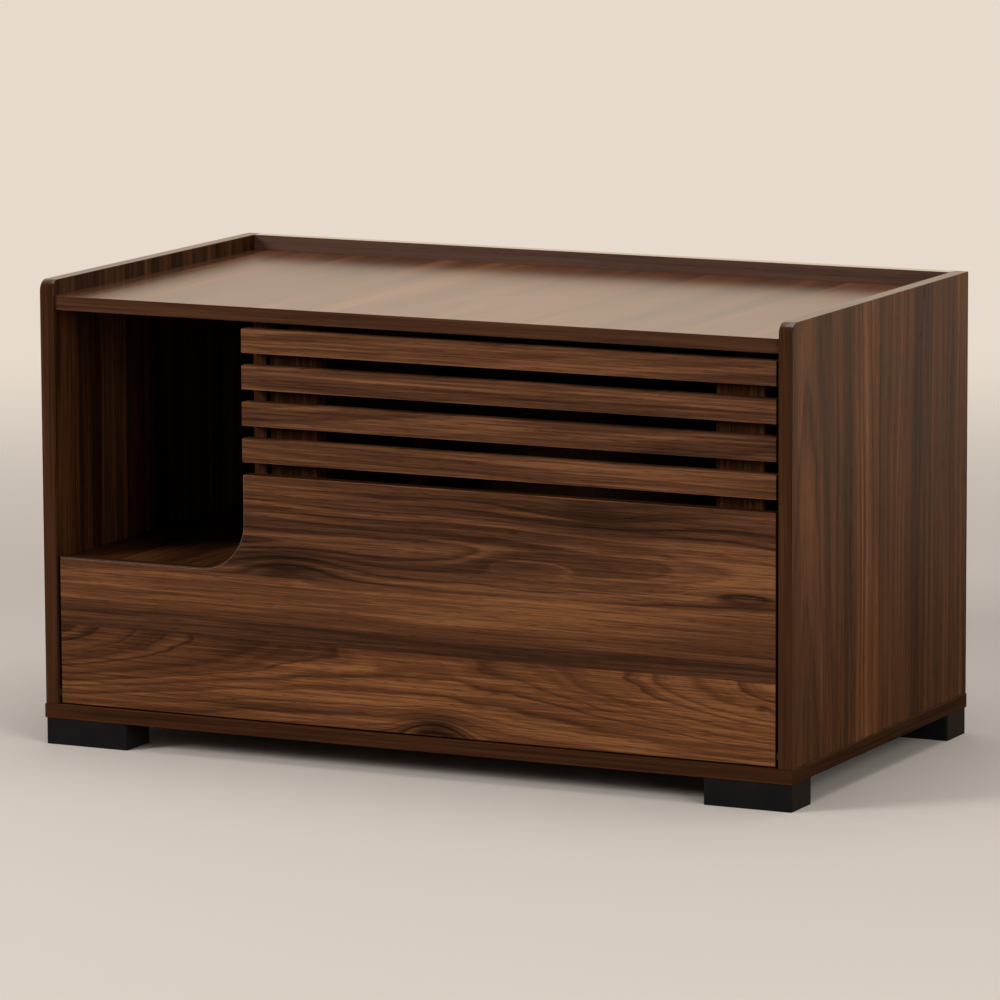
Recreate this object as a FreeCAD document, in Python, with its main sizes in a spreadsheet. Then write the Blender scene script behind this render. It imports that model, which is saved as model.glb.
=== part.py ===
import FreeCAD, Part
import math
import os
import re

import Sketcher

# A cat house of laminated boards: an entry bay with a landing shelf on the left, a litter room on the
# right, and a slatted front that drops forward on two pivot pins at its lower corners.
# Frame: X runs to the right seen from the front, Y to the back, Z up. The origin is the middle of the
# rectangle that the house covers on the floor.

SIZES = {
    # Boards and outer sizes
    "base_width": "860",
    "base_depth": "460",
    "house_height": "493",
    "board": "15",
    "base_lip": "1",
    "gallery_height": "16.5",
    "top_recess": "4",
    "side_corner_radius": "12",
    # Feet
    "foot_width": "97",
    "foot_depth": "50",
    "foot_height": "28",
    "foot_inset": "1",
    "foot_wall": "3.5",
    "foot_plate": "5",
    "foot_corner_radius": "2.5",
    "foot_boss_radius": "6.5",
    # Front: the solid panel, its cat opening and the slats above it
    "door_recess": "2",
    "door_side_gap": "3.4",
    "door_bottom_gap": "1.8",
    "finger_gap": "7.5",
    "slat_height": "25",
    "slat_gap": "13",
    "sill_share": "0.606",
    "notch_width": "219",
    "notch_radius": "50",
    "batten_width": "53",
    "batten_left_inset": "26",
    "batten_right_inset": "19",
    "batten_top_drop": "4",
    "batten_lap": "120",
    # Pivots of the front
    "pivot_setback": "5.5",
    "pivot_rise": "10.2",
    "pin_radius": "2.5",
    "pin_in_door": "28",
    "pin_in_bush": "10.5",
    "bush_depth": "12",
    "bush_wall": "2",
    "bush_flange_radius": "5.5",
    "bush_flange": "2",
    "running_clearance": "0.05",
    # Inside: divider with its pass-through, landing shelf and back panel
    "divider_inset": "3",
    "inner_setback": "6",
    "shelf_drop": "2",
    "window_width": "230",
    "window_height_share": "0.743",
    "window_radius": "50",
    "window_sill": "25",
    "window_rear_margin": "60",
    "back_thickness": "3",
    "back_inset": "10",
    "groove_depth": "6",
    "groove_slack": "0.2",
    # Dowels, cam locks and screws
    "seat_clearance": "0.1",
    "dowel_radius": "4",
    "dowel_in_face": "10",
    "dowel_in_end": "20",
    "joint_margin": "60",
    "joint_spread": "32",
    "cam_radius": "7.5",
    "cam_height": "12",
    "cam_setback": "34",
    "bolt_radius": "3",
    "bolt_thread_radius": "2.5",
    "bolt_thread_length": "10",
    "base_screw_radius": "2.5",
    "base_screw_length": "45",
    "base_screw_head_radius": "5",
    "base_screw_head": "3",
    "base_screw_margin": "100",
    "wood_screw_radius": "1.75",
    "wood_screw_head_radius": "3.5",
    "wood_screw_head": "2",
    "foot_screw_length": "21",
    "foot_screw_spread": "26",
    "batten_screw_length": "25",
    "batten_screw_spread": "8",
    "panel_screw_margin": "20",
    # Magnetic catches and their strike plates
    "catch_width": "24",
    "catch_depth": "16",
    "catch_height": "20",
    "catch_ear": "10",
    "catch_ear_thickness": "3",
    "catch_gap": "0.3",
    "magnet_width": "16",
    "magnet_height": "8",
    "magnet_depth": "8",
    "magnet_rise": "2",
    "catch_screw_length": "12",
    "strike_width": "40",
    "strike_height": "16",
    "strike_thickness": "1.2",
    "strike_screw_length": "12",
    "strike_screw_margin": "4.5",
    # How far a cutting shape runs past the face that it opens
    "overrun": "1",
}

doc = FreeCAD.newDocument("CatHouse")
sheet = doc.addObject("Spreadsheet::Sheet", "Sizes")
for row, (alias, text) in enumerate(SIZES.items(), start=1):
    sheet.set("A%d" % row, alias)
    sheet.set("B%d" % row, text)
    sheet.setAlias("B%d" % row, alias)
doc.recompute()

# Places shared by several pieces, as formulas of the sheet's sizes
BASE_TOP = "(foot_height + board)"
TOP_FACE = "(house_height - gallery_height)"
TOP_UNDER = "(house_height - gallery_height - board)"
INNER_X = "(base_width / 2 - base_lip - board)"
SIDE_FRONT = "(base_lip - base_depth / 2)"
SIDE_DEPTH = "(base_depth - base_lip)"
REAR = "(base_depth / 2)"
DOOR_FRONT = "(%s + door_recess)" % SIDE_FRONT
DOOR_BACK = "(%s + board)" % DOOR_FRONT
DOOR_BOTTOM = "(%s + door_bottom_gap)" % BASE_TOP
DOOR_HALF = "(%s - door_side_gap)" % INNER_X
BATTEN_BACK = "(%s + board)" % DOOR_BACK
SLAT_PITCH = "(slat_height + slat_gap)"
SLAT_TOP = "(%s - finger_gap)" % TOP_UNDER
SLAT_LEFT = "(notch_width - %s)" % DOOR_HALF
SLAT_LENGTH = "(2 * %s - notch_width)" % DOOR_HALF
SLAT_COUNT = 4
PANEL_TOP = "(%s - %d * %s)" % (SLAT_TOP, SLAT_COUNT, SLAT_PITCH)
PANEL_HEIGHT = "(%s - %s)" % (PANEL_TOP, DOOR_BOTTOM)
SILL_HEIGHT = "(%s * sill_share)" % PANEL_HEIGHT
SILL = "(%s + %s)" % (DOOR_BOTTOM, SILL_HEIGHT)
INNER_FRONT = "(%s + inner_setback)" % DOOR_BACK
BACK_REAR = "(%s - back_inset)" % REAR
BACK_FRONT = "(%s - back_thickness)" % BACK_REAR
INNER_REAR = "(%s - groove_slack)" % BACK_FRONT
DIVIDER_LEFT = "(%s + divider_inset)" % SLAT_LEFT
SHELF_TOP = "(%s - shelf_drop)" % SILL
SHELF_UNDER = "(%s - board)" % SHELF_TOP
PIVOT_Y = "(%s + pivot_setback)" % DOOR_FRONT
PIVOT_Z = "(%s + pivot_rise)" % DOOR_BOTTOM

QUARTER_TURN = 90
AXIS_TURNS = {
    "X": FreeCAD.Rotation(FreeCAD.Vector(0, 1, 0), QUARTER_TURN),
    "Z": FreeCAD.Rotation(),
    "-Y": FreeCAD.Rotation(FreeCAD.Vector(1, 0, 0), QUARTER_TURN),
}

nodes = []
drillings = {}


def bind(item, target, formula):
    """Tie one property of an item to a formula of the sheet's sizes."""
    item.setExpression(target, re.sub(r"[a-z_]+", lambda word: "Sizes." + word.group(0), formula))


def place(item, x, y, z):
    for axis, formula in zip("xyz", (x, y, z)):
        bind(item, "Placement.Base." + axis, formula)


def rectangle(width, height):
    return [("0", "0"), (width, "0"), (width, height), ("0", height)]


def outline_sketch(body, plane, outline):
    """Draw a closed outline on one of the body's own origin planes, every corner tied to the sheet."""
    sketch = body.newObject("Sketcher::SketchObject", body.Name + "_outline")
    support = next(feature for feature in body.Origin.OriginFeatures if feature.Role == plane)
    sketch.AttachmentSupport = (support, [""])
    sketch.MapMode = "FlatFace"
    count = len(outline)
    turns = [2 * math.pi * index / count for index in range(count)]
    corners = [FreeCAD.Vector(math.cos(turn), math.sin(turn), 0) for turn in turns]
    for index in range(count):
        sketch.addGeometry(Part.LineSegment(corners[index], corners[(index + 1) % count]))
    for index in range(count):
        sketch.addConstraint(Sketcher.Constraint("Coincident", index, 2, (index + 1) % count, 1))
    for index, corner in enumerate(outline):
        for kind, axis, formula, start in zip(("DistanceX", "DistanceY"), (-2, -1), corner, corners[index]):
            if formula == "0":
                sketch.addConstraint(Sketcher.Constraint("PointOnObject", index, 1, axis))
            else:
                number = sketch.addConstraint(Sketcher.Constraint(kind, index, 1, start))
                bind(sketch, "Constraints[%d]" % number, formula)
    return sketch


def stands_on(edge, corners, normal):
    """Whether an edge runs the pad's way through one of the corners of its outline."""
    for corner in corners:
        offsets = [(vertex.Point - corner).cross(normal).Length for vertex in edge.Vertexes]
        if max(offsets) < Part.Precision.confusion():
            return True
    return False


def panel(name, plane, outline, thickness, rounded=(), radius=None):
    """Pad an outline to a board; corners listed in rounded, by their number, get the radius."""
    body = doc.addObject("PartDesign::Body", name)
    sketch = outline_sketch(body, plane, outline)
    pad = body.newObject("PartDesign::Pad", name + "_pad")
    pad.Profile = sketch
    pad.Reversed = plane == "XZ_Plane"
    bind(pad, "Length", thickness)
    doc.recompute()
    if rounded:
        corners = [sketch.getGlobalPlacement().multVec(sketch.getPoint(index, 1)) for index in rounded]
        normal = sketch.getGlobalPlacement().Rotation.multVec(FreeCAD.Vector(0, 0, 1))
        numbered = enumerate(pad.Shape.Edges, start=1)
        edges = ["Edge%d" % number for number, edge in numbered if stands_on(edge, corners, normal)]
        fillet = body.newObject("PartDesign::Fillet", name + "_round")
        fillet.Base = (pad, edges)
        bind(fillet, "Radius", radius)
        doc.recompute()
    return body


def box(name, sizes, x, y, z):
    item = doc.addObject("Part::Box", name)
    for target, formula in zip(("Length", "Width", "Height"), sizes):
        bind(item, target, formula)
    place(item, x, y, z)
    return item


def rod(name, axis, radius, length, x, y, z):
    """A round rod that starts at the given place and runs along the axis."""
    item = doc.addObject("Part::Cylinder", name)
    item.Placement = FreeCAD.Placement(FreeCAD.Vector(), AXIS_TURNS[axis])
    bind(item, "Radius", radius)
    bind(item, "Height", length)
    place(item, x, y, z)
    return item


def cone(name, axis, start_radius, end_radius, length, x, y, z):
    item = doc.addObject("Part::Cone", name)
    item.Placement = FreeCAD.Placement(FreeCAD.Vector(), AXIS_TURNS[axis])
    bind(item, "Radius1", start_radius)
    bind(item, "Radius2", end_radius)
    bind(item, "Height", length)
    place(item, x, y, z)
    return item


def fuse(name, items):
    item = doc.addObject("Part::MultiFuse", name)
    item.Shapes = items
    return item


def cut(name, base, tool):
    item = doc.addObject("Part::Cut", name)
    item.Base = base
    item.Tool = tool
    return item


def group(name, items):
    item = doc.addObject("Part::Compound", name)
    item.Links = items
    return item


def drill(tool, *boards):
    """Note a hole that is cut in each of the named pieces when they are finished."""
    for board in boards:
        drillings.setdefault(board, []).append(tool)


def finish(label, blank):
    """Cut a piece's holes, give it its node name and keep it for writing."""
    item = blank
    if label in drillings:
        item = cut(label + "_drilled", blank, group(label + "_holes", drillings[label]))
    item.Label = label
    nodes.append(item)


def behind(axis, x, y, z, offset):
    """The place that lies an offset back along an axis."""
    coordinates = {"X": x, "Y": y, "Z": z}
    sign = "+" if axis.startswith("-") else "-"
    letter = axis[-1]
    coordinates[letter] = "(%s %s %s)" % (coordinates[letter], sign, offset)
    return coordinates["X"], coordinates["Y"], coordinates["Z"]


def span(face, sign, back, ahead):
    """Start and length along X of what reaches back from a face and ahead of it, the sign's way."""
    start = "(%s - %s)" % (face, back if sign == "+" else ahead)
    return start, "(%s + %s)" % (back, ahead)


def rod_across(name, radius, face, sign, back, ahead, y, z):
    """A rod along X through a face."""
    start, length = span(face, sign, back, ahead)
    return rod(name, "X", radius, length, start, y, z)


def dowel(name, axis, x, y, z, first, second, first_depth, second_depth):
    """A beech dowel across a joint at the given place: first piece behind it, second piece ahead."""
    length = "(%s + %s)" % (first_depth, second_depth)
    start = behind(axis, x, y, z, first_depth)
    hole_start = behind(axis, x, y, z, "(%s + seat_clearance)" % first_depth)
    hole_length = "(%s + 2 * seat_clearance)" % length
    drill(rod(name + "_hole", axis, "dowel_radius + seat_clearance", hole_length, *hole_start), first, second)
    return rod(name, axis, "dowel_radius", length, *start)


def screw(name, axis, x, y, z, radius, head_radius, head, length, *boards):
    """A countersunk screw whose head lies flush at the given place and which points along the axis."""
    shank = rod(name + "_shank", axis, radius, length, x, y, z)
    top = cone(name + "_head", axis, head_radius, radius, head, x, y, z)
    wide = "(%s + seat_clearance)" % radius
    hole_start = behind(axis, x, y, z, "seat_clearance")
    bore = rod(name + "_bore", axis, wide, "(%s + 2 * seat_clearance)" % length, *hole_start)
    sink = cone(name + "_sink", axis, "(%s + 2 * seat_clearance)" % head_radius, wide,
                "(%s + seat_clearance)" % head, *hole_start)
    drill(bore, *boards)
    drill(sink, boards[0])
    return fuse(name, [top, shank])


# Sides, base, top and the rail that closes the back of the top
SIDE_HEIGHT = "(house_height - %s)" % BASE_TOP
side_blanks = {}
for side, outer in (("left", "(0 - %s - board)" % INNER_X), ("right", INNER_X)):
    blank = panel(side + "_side_blank", "YZ_Plane", rectangle(SIDE_DEPTH, SIDE_HEIGHT), "board",
                  rounded=(3,), radius="side_corner_radius")
    place(blank, outer, SIDE_FRONT, BASE_TOP)
    side_blanks[side] = blank

base_blank = panel("base_blank", "XY_Plane", rectangle("base_width", "base_depth"), "board")
place(base_blank, "0 - base_width / 2", "0 - base_depth / 2", "foot_height")

TOP_FRONT = "(%s + top_recess)" % SIDE_FRONT
RAIL_FRONT = "(%s - board)" % REAR
top_outline = rectangle("2 * %s" % INNER_X, "%s - %s" % (RAIL_FRONT, TOP_FRONT))
top_blank = panel("top_blank", "XY_Plane", top_outline, "board")
place(top_blank, "0 - %s" % INNER_X, TOP_FRONT, TOP_UNDER)

rail_outline = rectangle("2 * %s" % INNER_X, "board + gallery_height")
rail_blank = panel("rail_blank", "XZ_Plane", rail_outline, "board")
place(rail_blank, "0 - %s" % INNER_X, RAIL_FRONT, TOP_UNDER)

# Back panel, held on all four sides in grooves
BACK_REACH = "(groove_depth - groove_slack)"
back_panel = panel("back_blank", "XZ_Plane",
                   rectangle("2 * %s + 2 * %s" % (INNER_X, BACK_REACH),
                             "%s - %s + 2 * %s" % (TOP_UNDER, BASE_TOP, BACK_REACH)), "back_thickness")
place(back_panel, "0 - %s - %s" % (INNER_X, BACK_REACH), BACK_FRONT, "%s - %s" % (BASE_TOP, BACK_REACH))
groove = box("back_groove",
             ("2 * %s + 2 * groove_depth" % INNER_X, "back_thickness + 2 * groove_slack",
              "%s - %s + 2 * groove_depth" % (TOP_UNDER, BASE_TOP)),
             "0 - %s - groove_depth" % INNER_X, "%s - groove_slack" % BACK_FRONT,
             "%s - groove_depth" % BASE_TOP)
drill(groove, "left_side_panel", "right_side_panel", "base_board", "gallery_rail")

# Divider between the entry bay and the litter room, with a rounded pass-through for the cat
INNER_DEPTH = "(%s - %s)" % (INNER_REAR, INNER_FRONT)
divider_blank = panel("divider_blank", "YZ_Plane",
                      rectangle(INNER_DEPTH, "%s - %s" % (TOP_UNDER, BASE_TOP)), "board")
place(divider_blank, DIVIDER_LEFT, INNER_FRONT, BASE_TOP)
WINDOW_HEIGHT = "((%s - %s) * window_height_share)" % (TOP_UNDER, SHELF_TOP)
window = panel("window_cutter", "YZ_Plane", rectangle("window_width", WINDOW_HEIGHT),
               "board + 2 * overrun", rounded=(0, 1, 2, 3), radius="window_radius")
place(window, "%s - overrun" % DIVIDER_LEFT, "%s - window_rear_margin - window_width" % INNER_REAR,
      "%s + window_sill" % SHELF_TOP)
drill(window, "divider_panel")

# Landing shelf in the entry bay
shelf_blank = panel("shelf_blank", "XY_Plane",
                    rectangle("%s + %s" % (DIVIDER_LEFT, INNER_X), INNER_DEPTH), "board")
place(shelf_blank, "0 - %s" % INNER_X, INNER_FRONT, SHELF_UNDER)

# Solid part of the front, stepped down on the left to leave the cat opening, with a round inner corner
door_outline = [
    ("0", "0"),
    ("2 * %s" % DOOR_HALF, "0"),
    ("2 * %s" % DOOR_HALF, PANEL_HEIGHT),
    ("notch_width", PANEL_HEIGHT),
    ("notch_width", SILL_HEIGHT),
    ("0", SILL_HEIGHT),
]
door_blank = panel("door_blank", "XZ_Plane", door_outline, "board", rounded=(4,), radius="notch_radius")
place(door_blank, "0 - %s" % DOOR_HALF, DOOR_FRONT, DOOR_BOTTOM)

# Slats over the panel, counted from the top, and the two battens behind that carry them
slat_blanks = []
slat_middles = []
for number in range(SLAT_COUNT):
    under = "(%s - %d * %s - slat_height)" % (SLAT_TOP, number, SLAT_PITCH)
    slat_outline = rectangle(SLAT_LENGTH, "slat_height")
    blank = panel("slat_blank_%d" % (number + 1), "XZ_Plane", slat_outline, "board")
    place(blank, SLAT_LEFT, DOOR_FRONT, under)
    slat_blanks.append(blank)
    slat_middles.append("(%s + slat_height / 2)" % under)

BATTEN_TOP = "(%s - batten_top_drop)" % SLAT_TOP
BATTEN_BOTTOM = "(%s - batten_lap)" % PANEL_TOP
BATTEN_LEFTS = {
    "left": "(%s + batten_left_inset)" % SLAT_LEFT,
    "right": "(%s - batten_right_inset - batten_width)" % DOOR_HALF,
}
batten_blanks = {}
for side, left in BATTEN_LEFTS.items():
    blank = panel(side + "_batten_blank", "XZ_Plane",
                  rectangle("batten_width", "%s - %s" % (BATTEN_TOP, BATTEN_BOTTOM)), "board")
    place(blank, left, DOOR_BACK, BATTEN_BOTTOM)
    batten_blanks[side] = blank

batten_screws = []
panel_screw_heights = [
    "(%s - panel_screw_margin)" % PANEL_TOP,
    "(%s + panel_screw_margin)" % BATTEN_BOTTOM,
]
for side, left in BATTEN_LEFTS.items():
    middle = "(%s + batten_width / 2)" % left
    for sign, hand in (("-", "a"), ("+", "b")):
        across = "(%s %s batten_screw_spread)" % (middle, sign)
        rows = [(height, "slat_%d" % (row + 1)) for row, height in enumerate(slat_middles)]
        rows += [(height, "door_panel") for height in panel_screw_heights]
        for row, (height, target) in enumerate(rows):
            batten_screws.append(screw("batten_screw_%s_%s_%s" % (side, hand, "abcdef"[row]), "-Y", across,
                                       BATTEN_BACK, height, "wood_screw_radius", "wood_screw_head_radius",
                                       "wood_screw_head", "batten_screw_length", side + "_batten", target))

# Pivot pins in the ends of the front, running in flanged bushes that are let into the sides
pins = {}
bushes = {}
BUSH_BORE = "(pin_radius + running_clearance)"
BUSH_RADIUS = "(%s + bush_wall)" % BUSH_BORE
PIN_REACH = "(door_side_gap + pin_in_door)"
WALLS = {"left": ("(0 - %s)" % INNER_X, "+"), "right": (INNER_X, "-")}
for side, (face, sign) in WALLS.items():
    pins[side] = rod_across(side + "_pin", "pin_radius", face, sign, "pin_in_bush", PIN_REACH,
                            PIVOT_Y, PIVOT_Z)
    drill(rod_across(side + "_pin_hole", BUSH_BORE, face, sign, "0", "(%s + seat_clearance)" % PIN_REACH,
                     PIVOT_Y, PIVOT_Z), "door_panel")
    sleeve = rod_across(side + "_sleeve", BUSH_RADIUS, face, sign, "bush_depth", "0", PIVOT_Y, PIVOT_Z)
    flange = rod_across(side + "_flange", "bush_flange_radius", face, sign, "0", "bush_flange",
                        PIVOT_Y, PIVOT_Z)
    bore = rod_across(side + "_bush_bore", BUSH_BORE, face, sign, "(bush_depth + overrun)",
                      "(bush_flange + overrun)", PIVOT_Y, PIVOT_Z)
    bushes[side] = cut(side + "_bush", fuse(side + "_bush_body", [sleeve, flange]), bore)
    drill(rod_across(side + "_bush_seat", "(%s + seat_clearance)" % BUSH_RADIUS, face, sign,
                     "(bush_depth + seat_clearance)", "overrun", PIVOT_Y, PIVOT_Z), side + "_side_panel")

# Magnetic catches under the top, each opposite a steel strike plate on the back of a batten
STRIKE_BACK = "(%s + strike_thickness)" % BATTEN_BACK
CATCH_FRONT = "(%s + catch_gap)" % STRIKE_BACK
CATCH_BOTTOM = "(%s - catch_height)" % TOP_UNDER
catch_outline = [
    ("0", "catch_height - catch_ear_thickness"),
    ("catch_ear", "catch_height - catch_ear_thickness"),
    ("catch_ear", "0"),
    ("catch_ear + catch_width", "0"),
    ("catch_ear + catch_width", "catch_height - catch_ear_thickness"),
    ("2 * catch_ear + catch_width", "catch_height - catch_ear_thickness"),
    ("2 * catch_ear + catch_width", "catch_height"),
    ("0", "catch_height"),
]
catch_blanks = {}
catch_magnets = []
catch_screws = []
strikes = []
strike_screws = []
for side, left in BATTEN_LEFTS.items():
    middle = "(%s + batten_width / 2)" % left
    blank = panel(side + "_catch_blank", "XZ_Plane", catch_outline, "catch_depth")
    place(blank, "%s - catch_width / 2 - catch_ear" % middle, CATCH_FRONT, CATCH_BOTTOM)
    catch_blanks[side] = blank
    magnet_left = "(%s - magnet_width / 2)" % middle
    magnet_low = "(%s + magnet_rise)" % CATCH_BOTTOM
    catch_magnets.append(box(side + "_magnet", ("magnet_width", "magnet_depth", "magnet_height"),
                             magnet_left, CATCH_FRONT, magnet_low))
    drill(box(side + "_magnet_seat", ("magnet_width + 2 * seat_clearance",
                                      "magnet_depth + seat_clearance + overrun",
                                      "magnet_height + 2 * seat_clearance"),
              "%s - seat_clearance" % magnet_left, "%s - overrun" % CATCH_FRONT,
              "%s - seat_clearance" % magnet_low), side + "_catch")
    strike_bottom = "(%s - strike_height - seat_clearance)" % BATTEN_TOP
    strikes.append(box(side + "_strike", ("strike_width", "strike_thickness", "strike_height"),
                       "%s - strike_width / 2" % middle, BATTEN_BACK, strike_bottom))
    for sign, hand in (("-", "a"), ("+", "b")):
        ear = "(%s %s (catch_width + catch_ear) / 2)" % (middle, sign)
        catch_screws.append(screw("catch_screw_%s_%s" % (side, hand), "Z", ear,
                                  "%s + catch_depth / 2" % CATCH_FRONT,
                                  "%s - catch_ear_thickness" % TOP_UNDER,
                                  "wood_screw_radius", "wood_screw_head_radius", "wood_screw_head",
                                  "catch_screw_length", side + "_catch", "top_board"))
        hole = "(%s %s (strike_width / 2 - strike_screw_margin))" % (middle, sign)
        strike_screws.append(screw("strike_screw_%s_%s" % (side, hand), "-Y", hole, STRIKE_BACK,
                                   "%s + strike_height / 2" % strike_bottom, "wood_screw_radius",
                                   "wood_screw_head_radius", "strike_thickness", "strike_screw_length",
                                   "strike_plates", side + "_batten"))

# Feet: open-bottomed moulded blocks with two screw bosses each
feet = {}
foot_screws = []
FOOT_ROWS = {
    "front": "(foot_inset - base_depth / 2)",
    "rear": "(base_depth / 2 - foot_inset - foot_depth)",
}
FOOT_COLUMNS = {
    "left": "(foot_inset - base_width / 2)",
    "right": "(base_width / 2 - foot_inset - foot_width)",
}
for depth_side, row_y in FOOT_ROWS.items():
    for side, row_x in FOOT_COLUMNS.items():
        label = "foot_%s_%s" % (depth_side, side)
        block = panel(label + "_block", "XY_Plane", rectangle("foot_width", "foot_depth"), "foot_height",
                      rounded=(0, 1, 2, 3), radius="foot_corner_radius")
        place(block, row_x, row_y, "0")
        hollow = box(label + "_hollow", ("foot_width - 2 * foot_wall", "foot_depth - 2 * foot_wall",
                                         "foot_height - foot_plate + overrun"),
                     "%s + foot_wall" % row_x, "%s + foot_wall" % row_y, "0 - overrun")
        shell = cut(label + "_shell", block, hollow)
        middle_x = "(%s + foot_width / 2)" % row_x
        middle_y = "(%s + foot_depth / 2)" % row_y
        plate_under = "(foot_height - foot_plate)"
        rib = box(label + "_rib", ("foot_wall", "foot_depth - foot_wall", plate_under),
                  "%s - foot_wall / 2" % middle_x, "%s + foot_wall / 2" % row_y, "0")
        members = [shell, rib]
        for sign, hand in (("-", "a"), ("+", "b")):
            spot = "(%s %s foot_screw_spread)" % (middle_x, sign)
            boss_start = "(foot_height - 2 * foot_plate)"
            members.append(rod("%s_boss_%s" % (label, hand), "Z", "foot_boss_radius", "2 * foot_plate",
                               spot, middle_y, boss_start))
            foot_screws.append(screw("%s_screw_%s" % (label, hand), "Z", spot, middle_y, boss_start,
                                     "wood_screw_radius", "wood_screw_head_radius", "wood_screw_head",
                                     "foot_screw_length", label, "base_board"))
        feet[label] = fuse(label + "_body", members)

# Screws up through the base into the sides and the divider, beside locating dowels
base_screws = []
dowels = []
uprights = [
    ("left_side_panel", "(0 - %s - board / 2)" % INNER_X),
    ("right_side_panel", "(%s + board / 2)" % INNER_X),
    ("divider_panel", "(%s + board / 2)" % DIVIDER_LEFT),
]
for label, across in uprights:
    for sign, hand in (("-", "front"), ("+", "rear")):
        along = "(0 %s (base_depth / 2 - base_screw_margin))" % sign
        base_screws.append(screw("base_screw_%s_%s" % (label, hand), "Z", across, along, "foot_height",
                                 "base_screw_radius", "base_screw_head_radius", "base_screw_head",
                                 "base_screw_length", "base_board", label))
        beside = "(0 %s (base_depth / 2 - base_screw_margin - joint_spread))" % sign
        dowels.append(dowel("base_dowel_%s_%s" % (label, hand), "Z", across, beside, BASE_TOP,
                            "base_board", label, "dowel_in_face", "dowel_in_end"))
        if label == "divider_panel":
            dowels.append(dowel("top_dowel_%s_%s" % (label, hand), "Z", across, beside, TOP_UNDER,
                                label, "top_board", "dowel_in_end", "dowel_in_face"))

# Dowels that hold the ends of the rail in the sides
rail_ends = [
    ("(0 - %s)" % INNER_X, "left_side_panel", "gallery_rail", "dowel_in_face", "dowel_in_end"),
    (INNER_X, "gallery_rail", "right_side_panel", "dowel_in_end", "dowel_in_face"),
]
for face, first, second, first_depth, second_depth in rail_ends:
    dowels.append(dowel("rail_dowel_%s" % first, "X", face, "%s - board / 2" % REAR,
                        "%s + gallery_height / 2" % TOP_FACE, first, second, first_depth, second_depth))

# Cam locks and dowels at the ends of the top and of the landing shelf
cams = []
bolts = []
end_joints = [
    ("top_board", "left_side_panel", "+", "(0 - %s)" % INNER_X, TOP_UNDER),
    ("top_board", "right_side_panel", "-", INNER_X, TOP_UNDER),
    ("landing_shelf", "left_side_panel", "+", "(0 - %s)" % INNER_X, SHELF_UNDER),
    ("landing_shelf", "divider_panel", "-", DIVIDER_LEFT, SHELF_UNDER),
]
for carried, carrier, sign, face, under in end_joints:
    level = "(%s + board / 2)" % under
    cam_x = "(%s %s cam_setback)" % (face, sign)
    joint_rows = [
        ("front", "(%s + joint_margin)" % INNER_FRONT, "(%s + joint_margin + joint_spread)" % INNER_FRONT),
        ("rear", "(%s - joint_margin)" % INNER_REAR, "(%s - joint_margin - joint_spread)" % INNER_REAR),
    ]
    for end, along, beside in joint_rows:
        name = "%s_%s_%s" % (carried, carrier, end)
        thread = rod_across(name + "_thread", "bolt_thread_radius", face, sign, "bolt_thread_length", "0",
                            along, level)
        shaft = rod_across(name + "_shaft", "bolt_radius", face, sign, "0", "cam_setback", along, level)
        bolts.append(fuse(name + "_bolt", [thread, shaft]))
        shaft_hole = rod_across(name + "_shaft_hole", "(bolt_radius + seat_clearance)", face, sign, "0",
                                "(cam_setback + seat_clearance)", along, level)
        thread_hole = rod_across(name + "_thread_hole", "(bolt_thread_radius + seat_clearance)", face, sign,
                                 "(bolt_thread_length + seat_clearance)", "0", along, level)
        drill(shaft_hole, carried)
        drill(thread_hole, carrier)
        cam_blank = rod(name + "_cam_blank", "Z", "cam_radius", "cam_height", cam_x, along, under)
        cams.append(cut(name + "_cam", cam_blank, shaft_hole))
        drill(rod(name + "_cam_seat", "Z", "(cam_radius + seat_clearance)",
                  "(cam_height + seat_clearance + overrun)", cam_x, along, "(%s - overrun)" % under), carried)
        pieces = (carrier, carried, "dowel_in_face", "dowel_in_end")
        if sign == "-":
            pieces = (carried, carrier, "dowel_in_end", "dowel_in_face")
        dowels.append(dowel(name + "_dowel", "X", face, beside, level, *pieces))

# Every piece gets its holes and its name
for side, blank in side_blanks.items():
    finish(side + "_side_panel", blank)
finish("base_board", base_blank)
finish("top_board", top_blank)
finish("gallery_rail", rail_blank)
finish("back_panel", back_panel)
finish("divider_panel", divider_blank)
finish("landing_shelf", shelf_blank)
finish("door_panel", door_blank)
for number, blank in enumerate(slat_blanks, start=1):
    finish("slat_%d" % number, blank)
for side in BATTEN_LEFTS:
    finish(side + "_batten", batten_blanks[side])
    finish(side + "_pivot_pin", pins[side])
    finish(side + "_pivot_bush", bushes[side])
    finish(side + "_catch", catch_blanks[side])
for label, blank in feet.items():
    finish(label, blank)
finish("strike_plates", group("strike_pair", strikes))
finish("batten_screws", group("batten_screw_set", batten_screws))
finish("catch_magnets", group("magnet_pair", catch_magnets))
finish("catch_screws", group("catch_screw_set", catch_screws))
finish("strike_screws", group("strike_screw_set", strike_screws))
finish("foot_screws", group("foot_screw_set", foot_screws))
finish("base_screws", group("base_screw_set", base_screws))
finish("joint_dowels", group("dowel_set", dowels))
finish("cam_locks", group("cam_set", cams))
finish("cam_bolts", group("bolt_set", bolts))
doc.recompute()

for item in doc.Objects:
    if "Invalid" in item.State or "Error" in item.State:
        raise RuntimeError("%s did not build: %s" % (item.Label, item.State))
for node in nodes:
    if node.Shape.isNull() or not node.Shape.isValid():
        raise RuntimeError("%s has no sound shape" % node.Label)

os.makedirs("parts", exist_ok=True)
for node in nodes:
    node.Shape.exportStep(os.path.join("parts", node.Label + ".step"))
    print("%-18s solids %2d  volume %12.1f" % (node.Label, len(node.Shape.Solids), node.Shape.Volume))
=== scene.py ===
import math

import bmesh
import bpy
from mathutils import Matrix, Vector


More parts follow.
